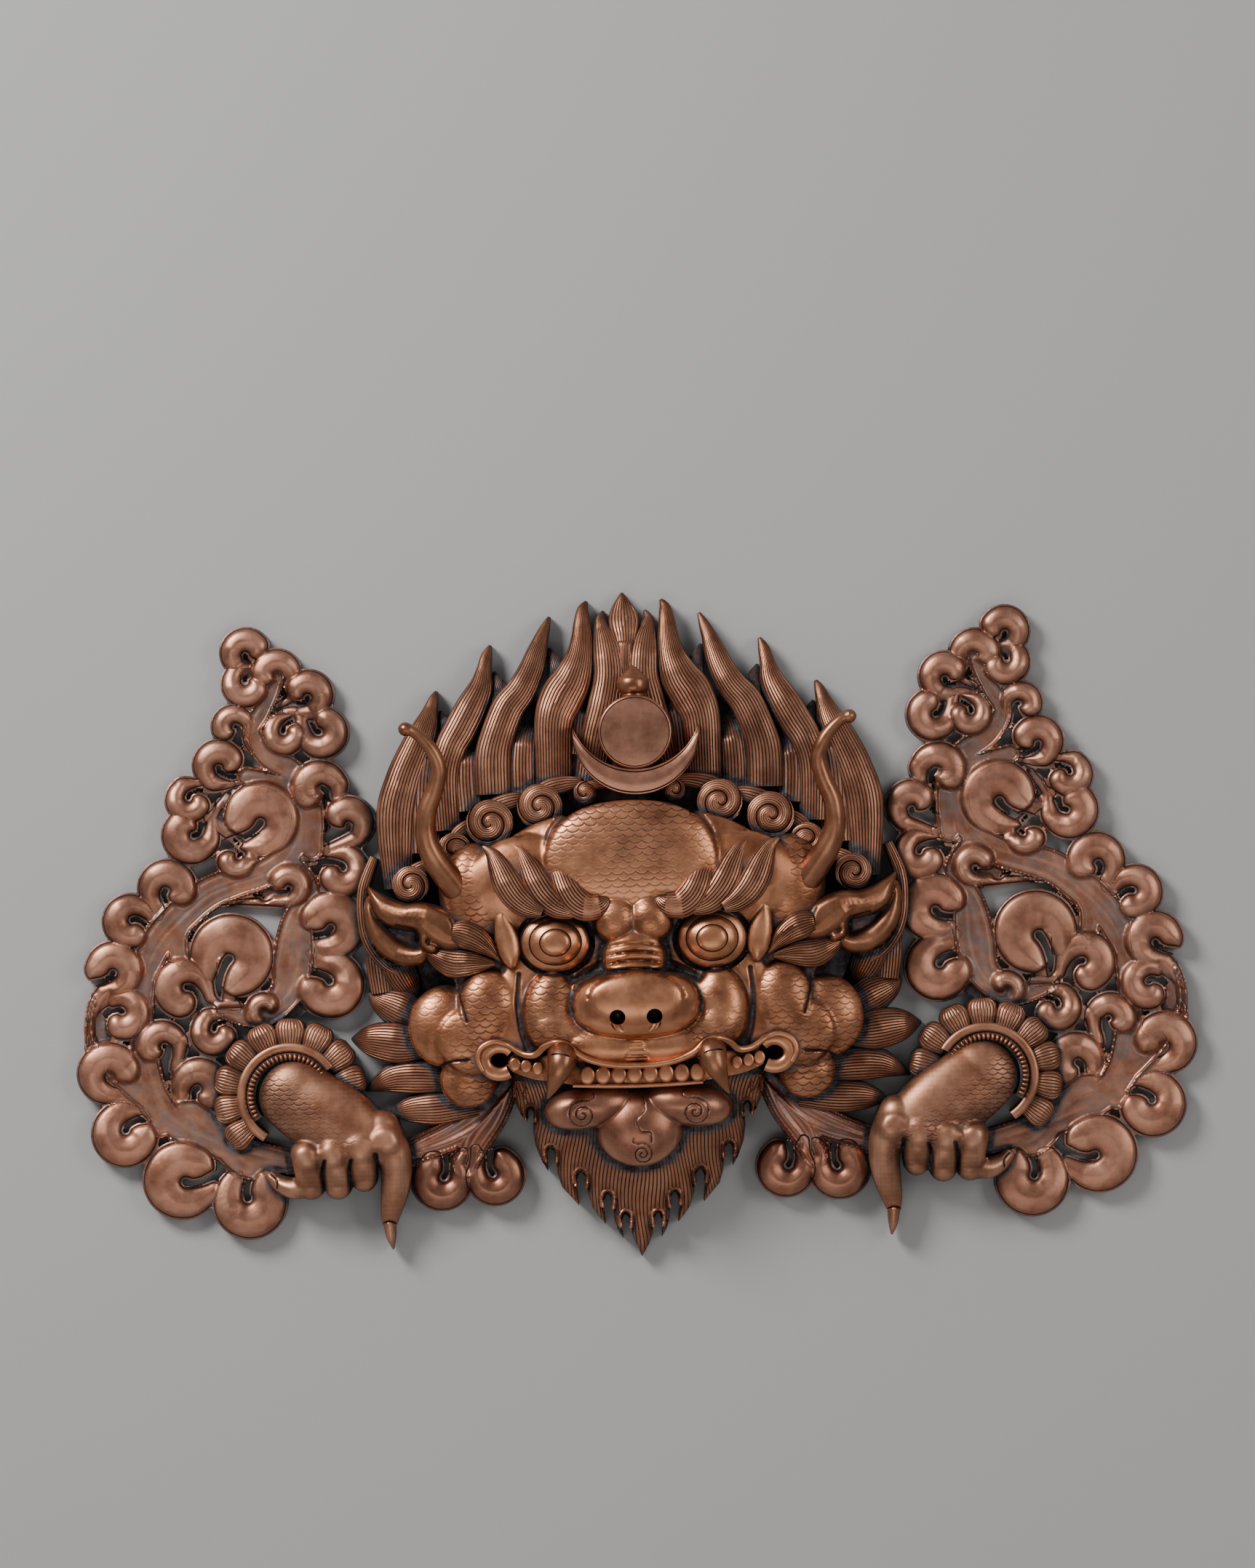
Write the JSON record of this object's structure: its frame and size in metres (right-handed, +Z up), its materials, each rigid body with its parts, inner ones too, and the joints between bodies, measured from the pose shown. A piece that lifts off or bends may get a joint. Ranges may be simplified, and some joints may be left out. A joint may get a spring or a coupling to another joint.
{
  "type": "kirtimukha mask",
  "caption": "Hammered copper wall mask of a horned beast face with flame hair, open scrollwork side panels and two clawed hands.",
  "frame": {"origin": "on the wall plane, at the flat back of the hair behind the hair line, where the mask is fixed to a wall", "axes": "+X along the width towards the viewer's right, +Y into the wall, +Z up; the mask faces -Y"},
  "size_m": [0.7146, 0.0941, 0.4238],
  "materials": {
    "copper": "dark oxidised copper with rubbed bright highs and blue-black recesses",
    "panel_copper": "matter, pinker oxidised copper with black recesses",
    "yellow_copper": "smoother yellow-brown copper, solder lumps at the joins"
  },
  "bodies": {
    "root": {"face": "copper", "hair_and_mane": "copper", "jaw": "copper", "beard": "copper", "crescent_moon": "copper", "sun_disc": "copper", "jewel_finial": "yellow_copper", "brow_left": "copper", "brow_right": "copper", "horn_left": "yellow_copper", "horn_right": "yellow_copper", "ear_left": "yellow_copper", "ear_right": "yellow_copper", "fang_left": "yellow_copper", "fang_right": "yellow_copper", "scroll_panel_left": "panel_copper", "scroll_panel_right": "panel_copper", "mouth_vine_left": "copper", "mouth_vine_right": "copper", "lotus_cuff_left": "copper", "lotus_cuff_right": "copper", "hand_left": "copper", "hand_right": "copper"}
  },
  "joints": []
}
